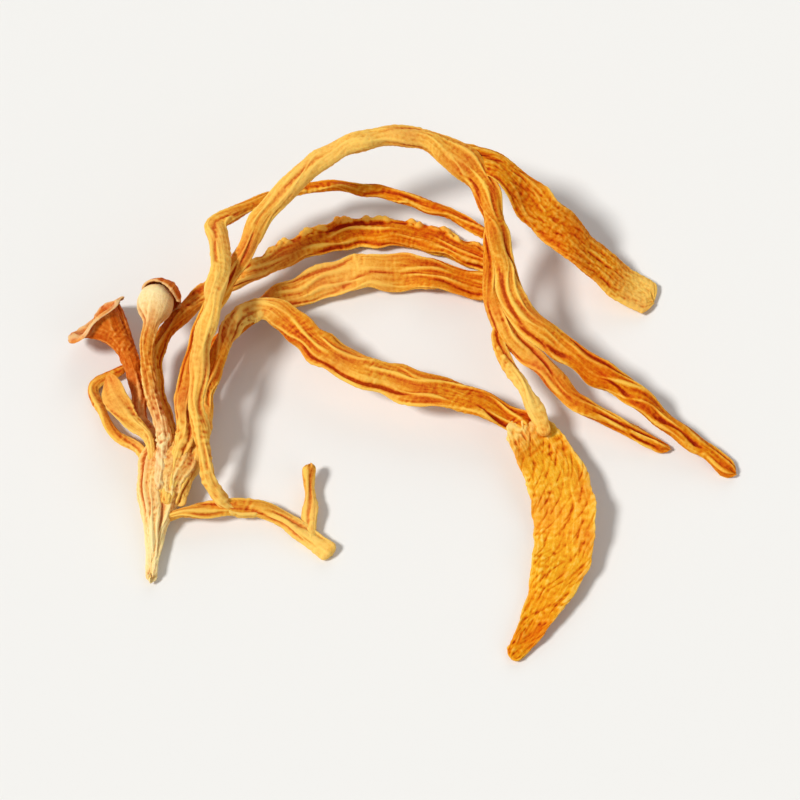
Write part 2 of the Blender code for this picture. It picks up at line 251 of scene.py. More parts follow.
FAN_STALK = [
    (-24.6, -14.0, 2.4, 1.1, 1.0, 0),
    (-24.8, -11.0, 2.6, 1.4, 1.3, 0),
    (-25.1, -8.6, 2.3, 1.6, 1.5, 0),
    (-26.2, -6.0, 2.0, 1.5, 1.3, 0),
    (-26.9, -3.2, 2.0, 1.6, 1.2, 0),
    (-27.4, -0.8, 2.3, 1.8, 1.2, 0),
    (-28.2, 1.2, 2.6, 2.3, 1.3, 0),
]
KNOB = [
    (-24.2, -14.4, 3.0, 1.0, 0.9, 0),
    (-24.0, -11.4, 3.6, 1.3, 1.1, 0),
    (-23.9, -8.9, 4.0, 1.4, 1.3, 0),
    (-24.9, -6.0, 4.6, 1.4, 1.3, 0),
    (-25.6, -2.4, 5.2, 1.4, 1.3, 0),
    (-25.8, 0.8, 5.7, 1.5, 1.4, 0),
    (-25.5, 2.5, 5.9, 1.6, 1.5, 0),
    (-25.4, 3.1, 5.95, 2.2, 2.1, 0),
    (-25.3, 3.8, 6.0, 3.2, 3.0, 0),
    (-25.2, 4.8, 6.0, 3.8, 3.5, 0),
    (-25.15, 5.8, 6.0, 3.3, 3.1, 0),
    (-25.1, 6.5, 6.0, 2.3, 2.2, 0),
    (-25.1, 6.9, 6.0, 1.0, 1.0, 0),
]
LOOP = [
    (-25.2, -11.0, 1.6, 0.9, 0.9, 0),
    (-26.5, -9.1, 1.5, 1.1, 1.1, 0),
    (-28.6, -7.8, 1.2, 1.1, 1.1, 0),
    (-30.4, -5.0, 0.8, 1.1, 1.1, 0),
    (-31.6, -2.2, 0.5, 1.2, 1.1, 0),
    (-31.2, -1.1, 0.6, 1.2, 1.1, 0),
    (-30.2, -0.5, 0.7, 1.1, 1.0, 0),
    (-29.0, 0.0, 0.8, 1.0, 0.9, 0),
    (-28.4, 0.3, 1.1, 0.9, 0.8, 0),
]
LEAF = [
    (-24.8, -11.4, 3.2, 0.9, 0.9, 0),
    (-25.5, -8.9, 3.6, 1.2, 1.1, 0),
    (-27.2, -7.2, 3.9, 2.0, 0.8, 0),
    (-28.7, -5.0, 3.9, 2.6, 0.7, 10),
    (-29.6, -2.6, 3.6, 1.8, 0.6, 15),
    (-29.9, -1.7, 3.4, 0.9, 0.5, 15),
]
HOOKED = [
    (-24.2, -16.6, 1.5, 0.9, 0.9, 0),
    (-22.2, -16.2, 1.7, 1.2, 1.3, 0),
    (-20.6, -16.0, 1.6, 1.5, 1.5, 0),
    (-18.2, -15.6, 1.6, 1.8, 1.5, 0),
    (-15.4, -15.4, 1.4, 1.7, 1.4, 0),
    (-12.4, -16.4, 1.0, 1.6, 1.3, 0),
    (-10.0, -18.0, 0.7, 1.9, 1.4, 0),
    (-8.0, -19.6, 0.6, 2.1, 1.4, 0),
    (-7.4, -20.1, 0.6, 2.1, 1.3, 0),
]
HOOK_STUB = [
    (-9.6, -11.0, 1.5, 1.2, 1.1, 0),
    (-9.6, -11.6, 1.5, 1.2, 1.2, 0),
    (-9.8, -14.4, 1.1, 1.3, 1.2, 0),
    (-9.6, -17.6, 0.7, 1.4, 1.3, 0),
    (-9.4, -18.8, 0.7, 1.2, 1.0, 0),
]


# ---------------------------------------------------------------------------
# Shape
# ---------------------------------------------------------------------------


def read_route(stations):
    """Reads a smooth curve through the stations at an even step.

    Each stretch is a Catmull-Rom cubic, as in the solids. The curve is then averaged over
    about a millimetre, which takes the stiffness out of its bends. Returns the lengths
    along it and the stations there.
    """
    fixed = np.array(stations, float)
    padded = np.vstack([2 * fixed[0] - fixed[1], fixed, 2 * fixed[-1] - fixed[-2]])
    t = np.linspace(0, 1, 60, endpoint=False)[:, None]
    stretches = [
        b + 0.5 * t * (c - a) + t**2 * (a - 2.5 * b + 2 * c - 0.5 * d)
        + 0.5 * t**3 * (3 * b - 3 * c + d - a)
        for a, b, c, d in zip(padded, padded[1:], padded[2:], padded[3:])
    ]
    fine = np.vstack(stretches + [fixed[-1:]])
    length = np.concatenate([[0], np.cumsum(np.linalg.norm(np.diff(fine[:, :3], axis=0), axis=1))])
    rings = max(24, int(length[-1] / RING_STEP))
    even = np.linspace(0, length[-1], rings)
    rows = np.stack([np.interp(even, length, column) for column in fine.T], axis=1)
    reach = 5
    soft = np.pad(rows, ((reach, reach), (0, 0)), mode="reflect", reflect_type="odd")
    window = np.hanning(2 * reach + 3)[1:-1]
    window /= window.sum()
    rows = np.stack([np.convolve(column, window, mode="valid") for column in soft.T], axis=1)
    return even[:, None], rows


def slow(s, rng, pitch):
    """Wanders along the stem between about -1 and 1.

    It is the sum of five cosines, each between one and 2.5 times `pitch` mm long.
    """
    total = np.zeros_like(s)
    for _ in range(5):
        total += np.cos(TURN * (s / (pitch * (1 + 1.5 * rng.random())) + rng.random()))
    return total / 2.2


def waves(q, s, seed, around, pitch, count=10):
    """Adds plane waves that close round the stem: smooth noise between about -1 and 1.

    Each is cos(TURN (m q + s / length) + phase), with m whole and at most `around`, and a
    length between one and three times `pitch` millimetres.
    """
    rng = np.random.default_rng(seed)
    total = np.zeros(np.broadcast(q, s).shape)
    for _ in range(count):
        m = rng.integers(-around, around + 1)
        total += np.cos(TURN * (m * q + s / (pitch * (1 + 2 * rng.random())) + rng.random()))
    return total / math.sqrt(count)


def lines(q, s, seed, count, wide, wander, girth, turn, steady, run=8.0):
    """Draws soft lines along the stem, each on its own wandering course.

    A line is exp(-(d / wide)^2), with d the way round the stem to its middle in mm. Its
    strength swings about `steady` over `run` mm. Lines join as 1 - product(1 - line), so
    that two that meet become one.
    """
    rng = np.random.default_rng(seed)
    bare = np.ones(np.broadcast(q, s).shape)
    for k in range(count):
        middle = (k + 0.7 * rng.random()) / count + turn * s / 360
        middle = middle + wander * slow(s, rng, 1.4 * run) / girth
        away = ((q - middle + 0.5) % 1.0 - 0.5) * girth
        strength = np.clip(steady + 0.6 * slow(s, rng, run), 0, 1)
        width = wide * (0.75 + 0.6 * rng.random()) * (1 + 0.35 * slow(s, rng, 0.5 * run))
        bare *= 1 - strength * np.exp(-((away / width) ** 2))
    return 1 - bare


def beads(q, s, seed, girth, size, reach=0.5):
    """Covers the skin with rounded grains, one in each cell of a shaken lattice.

    The height is 1 - d^2 / reach, with d the way to the nearest grain's middle in cells.
    """
    cells = max(5, int(round(float(girth.max()) / size)))
    rows = int(s.max() / size) + 6
    shake = np.random.default_rng(seed).random((cells, rows, 2)) * 0.8 + 0.1
    u, v = np.broadcast_arrays(q * cells, s / size + 2)
    column, row = np.floor(u).astype(int), np.floor(v).astype(int)
    nearest = np.full(u.shape, 9.0)
    for i in (-1, 0, 1):
        for j in (-1, 0, 1):
            spot = shake[(column + i) % cells, np.clip(row + j, 0, rows - 1)]
            gap = (u - column - i - spot[..., 0]) ** 2 + (v - row - j - spot[..., 1]) ** 2
            nearest = np.minimum(nearest, gap)
    return np.clip(1 - nearest / reach, 0, 1)


def blur(field, turns, rings):
    """Averages a field round and along the stem with a bell of the two widths, in points."""
    padded = np.concatenate([field[::-1], field, field[::-1]])
    f0 = np.fft.fftfreq(padded.shape[0])[:, None]
    f1 = np.fft.rfftfreq(padded.shape[1])[None, :]
    bell = np.exp(-2 * math.pi**2 * ((f0 * rings) ** 2 + (f1 * turns) ** 2))
    soft = np.fft.irfft2(np.fft.rfft2(padded) * bell, padded.shape)
    return soft[len(field) : 2 * len(field)]


def ease(x, low, high):
    """Rises smoothly from 0 at low to 1 at high."""
    t = np.clip((x - low) / (high - low), 0, 1)
    return t * t * (3 - 2 * t)


def spots(s, places):
    """Adds soft bumps strength exp(-(ds / half)^2) along the stem, with ds the way to a place.

    A place below zero counts back from the far end.
    """
    total = 0 * s
    for place, half, strength in places:
        total = total + strength * np.exp(-(((s - place % s.max()) / half) ** 2))
    return total


def relief(q, s, girth, seed, groove=0.24, grooves=3, pleat=0.20, spacing=0.80, turn=0.0,
           wrinkle=0.018, rough_spots=(), calm_spots=(), crease=0.0, crease_turn=24.0, pits=0.0):
    """Adds up a stem's folds in mm: pleats and fibres raise it, grooves lower it.

    Crepe, which is noise with waves of 0.4 to 1.3 mm, ripples it, and a rough spot also
    crumples it with longer ones. Slanting creases and pits are then taken away, and a calm
    spot fades all of them.
    """
    mean = float(girth.mean())
    rough = spots(s, rough_spots)
    pleats = max(5, round(mean / spacing))
    deep = lines(q, s, seed + 1, grooves, GROOVE_WIDE, 0.50, girth, turn, 0.6)
    folds = lines(q, s, seed + 2, pleats, PLEAT_WIDE, 0.30, girth, turn, 0.55, 6.0)
    fibres = lines(q, s, seed + 3, round(mean / FIBRE_SPACING), FIBRE_WIDE, 0.14, girth, turn, 0.5, 4.0)
    crepe = waves(q, s, seed + 4, max(4, round(mean / 0.9)), 0.42, 16)
    crepe = crepe * (0.8 + 0.6 * waves(q, s, seed + 5, 2, 3.0))
    crumple = waves(q, s, seed + 7, max(4, round(mean / 1.6)), 0.9, 14)
    # The shares taken off the lines keep the average height near nought.
    height = -groove * deep + pleat * (folds - 0.35) + FIBRE_RISE * (fibres - 0.4)
    height = height + wrinkle * (1 + rough) * crepe + CRUMPLE_RISE * rough * crumple
    if crease:
        creases = max(6, round(mean / CREASE_SPACING))
        slanted = lines(q, s, seed + 8, creases, CREASE_WIDE, 0.22, girth, crease_turn, 0.42, 2.4)
        height = height - crease * slanted
    if pits:
        holes = beads(q, s, seed + 9, girth, PIT_SPACING, 0.16) * ease(s, 3.5, 7.0)
        height = height - pits * holes
    return height * (1 - spots(s, calm_spots))


def finish_skin(points, height, girth, s, q, seed, turn, pale, rim):
    """Moves each point out along the bare skin's normal by its height, and notes its colour.

    The crest note is CREST_LEVEL + rim + (height - its own average) / CREST_RANGE, so it is
    high on thin crests and rims and low in narrow hollows. The flesh's colour reads it, so it
    paints shade into the hollows and a highlight onto the crests and rims. The fibre place is
    the point on a round stem of the same girth, so that a noise wraps round it. Outward is the
    way from a ring's middle at most points of the first third, where the skin is plainly convex.
    """
    d_along = np.gradient(points, axis=0)
    d_round = np.roll(points, -1, axis=1) - np.roll(points, 1, axis=1)
    normal = np.cross(d_round, d_along)
    normal /= np.linalg.norm(normal, axis=2)[:, :, None] + 1e-12
    third = len(points) // 3
    away = points - points.mean(axis=1, keepdims=True)
    outward = math.copysign(1, float(np.median(np.sum(normal * away, axis=2)[:third])))
    local = height - blur(height, CREST_REACH / POINT_STEP, CREST_REACH / RING_STEP)
    points = points + normal * (outward * height)[:, :, None] - MIDDLE
    points[:, :, 2] = np.maximum(points[:, :, 2], TABLE_Z)
    radius = float(girth.mean()) / TURN
    angle = TURN * (q + turn * s / 360)
    fibre_place = np.stack(
        np.broadcast_arrays(radius * np.cos(angle), radius * np.sin(angle), s + seed), axis=-1
    )
    notes = {
        "pale": np.clip(pale * np.ones(height.shape), 0, 1),
        # The crest note sets the painted shade in hollows and the painted highlight on crests and rims.
        "crest": np.clip(CREST_LEVEL + local / CREST_RANGE + np.clip(rim, 0, 1), 0, 1),
    }
    return points, notes, fibre_place


def stem_surface(stations, seed, cup=0.0, grain=0.0, grain_from=0.0, grain_to=2.0,
                 grain_size=0.42, grain_edge=0, frill=0.0, frill_pitch=2.0, ends=(0.5, 0.6),
                 ragged=(0.0, 0.0), lumps=0.08, sway=0.10, curl=0.20, pale=(), **folds):
    """Works out one stem's skin as a grid of rings.

    The bare section is an ellipse, bent into a channel by `cup` and waved at its edges by
    `frill`. Its size swings by `lumps`, its middle by `sway` mm and its twist by `curl`
    radians. An end shrinks on a quarter ellipse, and a ragged end has its rim drawn in and
    out. The folds raise the skin, and so do the grains between two parts of its length or,
    with `grain_edge`, along one edge only.
    """
    s, rows = read_route(stations)
    length = s[-1, 0]
    rng = np.random.default_rng(seed)
    centres = rows[:, :3].copy()
    along = np.gradient(centres, axis=0)
    along /= np.linalg.norm(along, axis=1)[:, None]
    level = np.cross(along, (0.0, 0.0, 1.0))
    level /= np.linalg.norm(level, axis=1)[:, None]
    up = np.cross(level, along)
    centres += level * sway * slow(s, rng, 3.8) + up * 0.8 * sway * slow(s, rng, 3.8)
    twist = np.radians(rows[:, 5:6]) + curl * slow(s, rng, 6.0)
    side = (level * np.cos(twist) + up * np.sin(twist))[:, None]
    top = (up * np.cos(twist) - level * np.sin(twist))[:, None]

    start = np.sqrt(1 - (1 - np.clip(s / ends[0], 0, 1)) ** 2 * TIP_CLOSED)
    stop = np.sqrt(1 - (1 - np.clip((length - s) / ends[1], 0, 1)) ** 2 * TIP_CLOSED)
    fade = start * stop
    half_width = rows[:, 3:4] / 2 * (1 + lumps * slow(s, rng, 2.5)) * fade
    half_thick = rows[:, 4:5] / 2 * (1 + lumps * slow(s, rng, 3.0)) * fade
    wide, thick = rows[:, 3:4] / 2, rows[:, 4:5] / 2
    girth = math.pi * (wide + thick) * (1 + ((wide - thick) / (wide + thick)) ** 2 / 4)
    count = int(2 * math.ceil(float(np.percentile(girth, 90)) / POINT_STEP / 2))

    fine = np.linspace(0, TURN, 721)
    speed = np.hypot(wide.mean() * np.sin(fine), thick.mean() * np.cos(fine))
    run = np.concatenate([[0], np.cumsum((speed[1:] + speed[:-1]) / 2)])
    q = np.arange(count)[None, :] / count
    angle = np.interp(q * run[-1], run, fine)
    across, rise = np.cos(angle), np.sin(angle)

    bent = cup * (across**2 - 0.45) * (0.8 + 0.45 * slow(s, rng, 5.0)) * fade
    edge = np.abs(across) ** 3
    bent = bent + frill * edge * np.sign(across) * slow(s + 1.3 * across, rng, frill_pitch) * fade
    points = (
        centres[:, None]
        + side * (across * half_width)[:, :, None]
        + top * (rise * half_thick + bent)[:, :, None]
    )
    for amount, depth in ((ragged[0], s), (ragged[1], length - s)):
        tear = amount * waves(q, 0 * s, seed + 28, 8, 1.0) * np.exp(-depth / 1.1)
        points += along[:, None] * tear[:, :, None]

    height = relief(q, s, girth, seed, **folds)
    part = s / length
    ripe = ease(part, grain_from - 0.06, grain_from + 0.12)
    ripe = ripe * (1 - ease(part, grain_to - 0.06, grain_to + 0.12))
    if grain_edge:
        uneven = np.clip(0.7 + 0.5 * waves(q, s, seed + 12, 2, 1.3), 0.1, 1.2)
        ripe = ripe * ease(grain_edge * across, 0.35, 0.8) * uneven
    if grain:
        height = height * (1 - 0.3 * ripe) + grain * ripe * beads(q, s, seed + 6, girth, grain_size)
    height = height * fade * np.minimum(1, half_thick / THIN)
    # The rim lifts the crest note along a flat stem's edges, a painted highlight there, and over the
    # ripe grains, which it makes paler.
    rim = 0.45 * (1 - thick / wide) * np.abs(across) ** 8 + 1.1 * grain * ripe
    return finish_skin(points, height, girth, s, q, seed, folds.get("turn", 0.0), spots(s, pale), rim)


def bell_surface(low, middle, mouth, seed, throat=0.85, flare=1.75, flat=0.56, wall=0.30,
                 roll=0.30, oblique=0.75):
    """Works out a dried trumpet: a wall that flares, rolls its lip out and turns back inside.

    The axis is the parabola through the three places. The radius is throat + flare a^2.2,
    with a the part of the way up, and it starts thin, inside the stalk. At the lip the
    wall's outside follows a circle of radius `roll` and its inside one wider by the wall.
    The section is an ellipse, flattened toward the mouth, and the mouth is cut aslant.
    """
    low, middle, mouth = (np.array(place, float) for place in (low, middle, mouth))
    # Rings up the outside, round the lip, and back down the inside to where it closes.
    rising = np.linspace(0, 1, 64)
    turning = np.linspace(0, math.radians(165), 12)[1:]
    falling = np.linspace(1, 0.35, 44)[1:]
    swell = (throat + flare * rising**2.2) * (0.45 + 0.55 * ease(rising, 0, 0.16))
    back = throat + flare * falling**2.2 - wall
    closing = 8
    back[-closing:] *= np.sqrt(np.linspace(1, 0.0004, closing))
    far, end = swell[-1], np.ones(len(turning))
    part = np.concatenate([rising, end, end, falling])
    rolled_out = far + roll * (1 - np.cos(turning))
    rolled_back = far + roll - (roll + wall) * np.cos(turning[::-1])
    radius = np.concatenate([swell, rolled_out, rolled_back, back])
    beyond = np.concatenate([
        0 * rising, roll * np.sin(turning), (roll + wall) * np.sin(turning[::-1]), 0 * falling,
    ])
    a = part[:, None]
    centres = low * (1 - a) * (1 - 2 * a) + middle * 4 * a * (1 - a) + mouth * a * (2 * a - 1)
    along = low * (4 * a - 3) + middle * (4 - 8 * a) + mouth * (4 * a - 1)
    along /= np.linalg.norm(along, axis=1)[:, None]
    level = np.cross(along, (0.0, 0.0, 1.0))
    level /= np.linalg.norm(level, axis=1)[:, None]
    up = np.cross(level, along)
    centres = centres + along * beyond[:, None]

    count = 2 * math.ceil(math.pi * 1.6 * far / POINT_STEP / 2)
    q = np.arange(count)[None, :] / count
    angle = TURN * q
    late = ease(a, 0.4, 1.0)
    dent, lip_wave = 0.19, 0.40
    ring = radius[:, None] * (1 + late * dent * waves(q, 0 * a, seed, 6, 1.0))
    squeeze = 0.85 + (flat - 0.85) * late
    slant = oblique * np.sin(angle) * ring * squeeze
    points = (
        centres[:, None]
        + level[:, None] * (np.cos(angle) * ring)[:, :, None]
        + up[:, None] * (np.sin(angle) * ring * squeeze)[:, :, None]
        + along[:, None] * (late * (lip_wave * waves(q, 0 * a, seed + 1, 5, 1.0) - slant))[:, :, None]
    )
    step = np.linalg.norm(np.diff(points, axis=0), axis=2).mean(axis=1)
    s = np.concatenate([[0], np.cumsum(step)])[:, None]
    girth = TURN * 0.75 * np.maximum(radius[:, None], throat)
    thin = np.minimum(1, radius[:, None] / 0.5)
    height = relief(q, s, girth, seed, groove=0.10, grooves=6, pleat=0.10, wrinkle=0.03) * thin
    lip_ring, lip_rings = len(rising) + len(turning), 9.0
    lip = np.exp(-(((np.arange(len(a)) - lip_ring) / lip_rings) ** 2))[:, None]
    pale = lip * (0.8 + 0.5 * waves(q, s, seed + 2, 6, 1.0))
    return finish_skin(points, height, girth, s, q, seed, 0.0, pale, 0.2 * lip)


def hood_surface(centre, axis, radius, reach, wall, seed):
    """Works out a dried cap: a bowl of skin about a ball, with a wavy rim.

    The outside runs from the pole to the rim at the polar angle `reach`, waved by the
    place round it, and the inside runs back at a radius smaller by the wall.
    """
    axis = np.array(axis, float) / np.linalg.norm(axis)
    level = np.cross(axis, (0.0, 0.0, 1.0))
    level /= np.linalg.norm(level)
    up = np.cross(level, axis)
    rings = int(radius * reach / RING_STEP)
    part = np.concatenate([np.linspace(0.01, 1, rings), np.linspace(1, 0.01, rings)])[:, None]
    inside = np.concatenate([np.zeros(rings), np.ones(rings)])[:, None]
    count = 2 * math.ceil(TURN * radius * math.sin(min(reach, 1.5)) / POINT_STEP / 2)
    q = np.arange(count)[None, :] / count
    rim_wave, dent = 0.16, 0.05
    polar = part * reach * (1 + rim_wave * waves(q, 0 * part, seed, 4, 1.0))
    size = radius * (1 + dent * part**2 * waves(q, 0 * part, seed + 1, 5, 1.0)) - wall * inside
    angle = TURN * q
    points = np.array(centre, float) + (size * np.cos(polar))[:, :, None] * axis
    points = points + (size * np.sin(polar) * np.cos(angle))[:, :, None] * level
    points = points + (size * np.sin(polar) * np.sin(angle))[:, :, None] * up
    s = (np.arange(2 * rings) * RING_STEP)[:, None]
    girth = TURN * radius * np.sin(np.clip(part * reach, 0.15, 1.5))
    height = relief(q, s, girth, seed, groove=0.08, grooves=5, pleat=0.09, wrinkle=0.03)
    height = height * ease(part, 0.02, 0.3)
    pale, rim = 0.7 * ease(part, 0.9, 1.0), 0.5 * ease(part, 0.86, 1.0)
    return finish_skin(points, height, girth, s, q, seed, 0.0, pale, rim)


def write_mesh(name, points, notes, fibre_place):
    """Turns a grid of rings into a closed, smooth mesh with a point at each end."""
    rings, count = points.shape[:2]
    verts = np.vstack([points.reshape(-1, 3), points[0].mean(0)[None], points[-1].mean(0)[None]])
    ring, k = np.meshgrid(np.arange(rings - 1), np.arange(count), indexing="ij")
    n = (k + 1) % count
    quads = np.stack(
        [ring * count + k, ring * count + n, (ring + 1) * count + n, (ring + 1) * count + k], axis=-1
    ).reshape(-1, 4)
    k = np.arange(count)
    n = (k + 1) % count
    far = (rings - 1) * count
    low = np.stack([np.full(count, rings * count), n, k], axis=1)
    high = np.stack([np.full(count, rings * count + 1), far + k, far + n], axis=1)
    a, b, c, d = (verts[quads[:, i]] - verts.mean(0) for i in range(4))
    volume = np.sum(np.cross(a, b) * c) + np.sum(np.cross(a, c) * d)
    if volume < 0:
        quads, low, high = quads[:, ::-1], low[:, ::-1], high[:, ::-1]
    mesh = bpy.data.meshes.new(name)
    mesh.from_pydata((verts * MM).tolist(), [], quads.tolist() + low.tolist() + high.tolist())
    mesh.shade_smooth()
    for label, values in notes.items():
        ends = [values[0].mean(), values[-1].mean()]
        layer = mesh.attributes.new(label, "FLOAT", "POINT")
        layer.data.foreach_set("value", np.append(values.ravel(), ends).astype(np.float32))
    ends = np.stack([fibre_place[0].mean(0), fibre_place[-1].mean(0)])
    layer = mesh.attributes.new("fibre_place", "FLOAT_VECTOR", "POINT")
    flat = np.vstack([fibre_place.reshape(-1, 3), ends])
    layer.data.foreach_set("vector", flat.astype(np.float32).ravel())
    piece = bpy.data.objects.new(name, mesh)
    bpy.context.scene.collection.objects.link(piece)
    return piece


# ---------------------------------------------------------------------------
# Materials
# ---------------------------------------------------------------------------


def linear(code):
    """Turns an sRGB hex colour into the linear colour that a shader takes."""
    values = [int(code[i : i + 2], 16) / 255 for i in (1, 3, 5)]
    return tuple(v / 12.92 if v <= 0.04045 else ((v + 0.055) / 1.055) ** 2.4 for v in values) + (1.0,)


def add(tree, kind, settings=None, links=None):
    """Adds one node, sets its properties and sockets, and links its inputs."""
    node = tree.nodes.new(kind)
    for name, value in (settings or {}).items():
        if isinstance(name, str) and hasattr(node, name):
            setattr(node, name, value)
        else:
            node.inputs[name].default_value = value
    for name, source in (links or {}).items():
        tree.links.new(source, node.inputs[name])
    return node


def dried_flesh(name, stops, pale):
    """Makes dried fungus flesh: cured and leathery, with shade and highlight painted by its folds.

    A fold height is the crest note plus a share of the fibre noise plus a share of the
    mottle, less their averages. It reads the colour stops, from hollow to crest: the dark
    hollow stops are painted shade and the pale crest stops a painted highlight.
    Fibres are about 0.2 mm wide and 2 mm long and the mottle about 0.25 mm, drawn coarser
    than the flesh's own so that they show. Patches of about 4 mm redden the colour.
    """
    fibre_share, mottle_share, pallor_lift, roughness = 0.55, 0.60, 0.38, 0.60
    material = bpy.data.materials.new(name)
    material.use_nodes = True
    tree = material.node_tree
    shader = tree.nodes["Principled BSDF"]
    # The crest note: low in hollows, where it paints shade, and high on crests, where it paints a
    # highlight.
    crest = add(tree, "ShaderNodeAttribute", {"attribute_name": "crest"}).outputs["Fac"]
    pallor = add(tree, "ShaderNodeAttribute", {"attribute_name": "pale"}).outputs["Fac"]
    round_stem = add(tree, "ShaderNodeAttribute", {"attribute_name": "fibre_place"}).outputs["Vector"]
    drawn_out = add(tree, "ShaderNodeMapping", {"Scale": (1.0, 1.0, 0.12)}, {"Vector": round_stem})
    spot = add(tree, "ShaderNodeTexCoord").outputs["Object"]
    fibre = add(tree, "ShaderNodeTexNoise", {"Scale": 4.5, "Detail": 4.0, "Roughness": 0.65},
                {"Vector": drawn_out.outputs[0]}).outputs["Fac"]
    mottle = add(tree, "ShaderNodeTexNoise", {"Scale": 3800.0, "Detail": 3.0, "Roughness": 0.65},
                 {"Vector": spot}).outputs["Fac"]
    patches = add(tree, "ShaderNodeTexNoise", {"Scale": 260.0, "Detail": 2.0},
                  {"Vector": spot}).outputs["Fac"]

    # Folds choose the colour, painting shade into the hollows and a highlight onto the crests,
    # and pallor lifts it toward the pale end.
    height = add(tree, "ShaderNodeMath", {"operation": "MULTIPLY_ADD", 1: fibre_share},
                 {0: fibre, 2: crest}).outputs[0]
    height = add(tree, "ShaderNodeMath", {"operation": "MULTIPLY_ADD", 1: mottle_share},
                 {0: mottle, 2: height}).outputs[0]
    height = add(tree, "ShaderNodeMath",
                 {"operation": "SUBTRACT", "use_clamp": True, 1: (fibre_share + mottle_share) / 2},
                 {0: height}).outputs[0]
    lifted = add(tree, "ShaderNodeMath",
                 {"operation": "MULTIPLY_ADD", "use_clamp": True, 1: pallor_lift},
                 {0: pallor, 2: height}).outputs[0]
    ramp = add(tree, "ShaderNodeValToRGB", links={"Fac": lifted})
    band = ramp.color_ramp
    while len(band.elements) < len(stops):
        band.elements.new(1.0)
    for element, (position, code) in zip(band.elements, stops):
        element.position = position
        element.color = linear(code)

    # Patches redden the flesh, and on pale parts the crests go toward the pale colour: the
    # part's own pale tone with a painted highlight on its crests.
    blush = add(tree, "ShaderNodeMapRange", {"From Min": 0.45, "From Max": 0.75},
                {"Value": patches}).outputs[0]
    warm = add(tree, "ShaderNodeMix",
               {"data_type": "RGBA", "blend_type": "MULTIPLY", 7: linear("#F4C28A")},
               {0: blush, 6: ramp.outputs["Color"]}).outputs[2]
    pallor_and_crest_highlight = add(tree, "ShaderNodeMapRange", {"From Min": 0.1, "From Max": 0.95},
               {"Value": lifted}).outputs[0]
    pallor_and_crest_highlight = add(tree, "ShaderNodeMath", {"operation": "MULTIPLY"}, {0: pallor_and_crest_highlight, 1: pallor}).outputs[0]
    colour = add(tree, "ShaderNodeMix", {"data_type": "RGBA", 7: linear(pale)},
                 {0: pallor_and_crest_highlight, 6: warm}).outputs[2]
    tree.links.new(colour, shader.inputs["Base Color"])

    # Fibres vary the dull surface, and thin dried flesh lets a little light in.
    rough = add(tree, "ShaderNodeMath", {"operation": "MULTIPLY_ADD", 1: 0.3, 2: roughness - 0.15},
                {0: fibre})
    tree.links.new(rough.outputs[0], shader.inputs["Roughness"])
    fine_height = add(tree, "ShaderNodeMath", {"operation": "ADD"}, {0: fibre, 1: mottle}).outputs[0]
    bump = add(tree, "ShaderNodeBump", {"Strength": 0.7, "Distance": 0.0001}, {"Height": fine_height})
    tree.links.new(bump.outputs[0], shader.inputs["Normal"])
    shader.inputs["IOR"].default_value = 1.45
    shader.inputs["Specular IOR Level"].default_value = 0.06
    shader.inputs["Subsurface Weight"].default_value = 0.12
    shader.inputs["Subsurface Radius"].default_value = (1.0, 0.42, 0.12)
    shader.inputs["Subsurface Scale"].default_value = 0.0003
    return material


# Air-dried stem flesh, orange: rust red in its hollows as painted shade, golden on its crests as a
# painted highlight.
ORANGE = dried_flesh(
    "cured_orange_flesh",
    [(0.0, "#961F02"), (0.28, "#CB5606"), (0.54, "#E08A0E"), (1.0, "#F8C450")],
    "#F9CC6A",
)
# Thin dried blade with ripe grains: brighter and yellower, with few deep hollows; painted shade in its
# hollows, a painted highlight on its crests.
BLADE = dried_flesh(
    "granular_blade_flesh",
    [(0.0, "#AC3402"), (0.28, "#DC7E06"), (0.58, "#EDAA1A"), (1.0, "#FCD062")],
    "#FAD47C",
)
# Dried foot with mycelium on it: straw and cream, with brown painted into its folds as shade.
FOOT_PALE = dried_flesh(
    "pale_mycelial_foot",
    [(0.0, "#9C3203"), (0.28, "#CC6410"), (0.56, "#E29A2E"), (1.0, "#F9CE70")],
    "#FCE2A2",
)
# Young dried flesh without ripe grains: the same browns as painted shade in its hollows, worn to ivory
# on the knob.
TIP_PALE = dried_flesh(
    "pale_tip_flesh",
    [(0.0, "#A03604"), (0.32, "#CC6A10"), (0.60, "#E09630"), (1.0, "#F8CA6E")],
    "#FAE4AC",
)
# Browned dried caps: leather brown with a tan, worn lip, and darker brown painted into their folds as
# shade.
BROWN = dried_flesh(
    "browned_head_flesh",
    [(0.0, "#8C2A03"), (0.30, "#C2560A"), (0.60, "#D87820"), (1.0, "#F0AC5C")],
    "#E9C088",
)


# ---------------------------------------------------------------------------
# The tuft
# ---------------------------------------------------------------------------


def place_piece(name, skin, material, nodes):
    """Puts one finished skin into the tuft, in place of its solids."""
    piece = write_mesh(name, *skin)
    piece.data.materials.append(material)
    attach(piece, "root")
    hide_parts(*nodes)


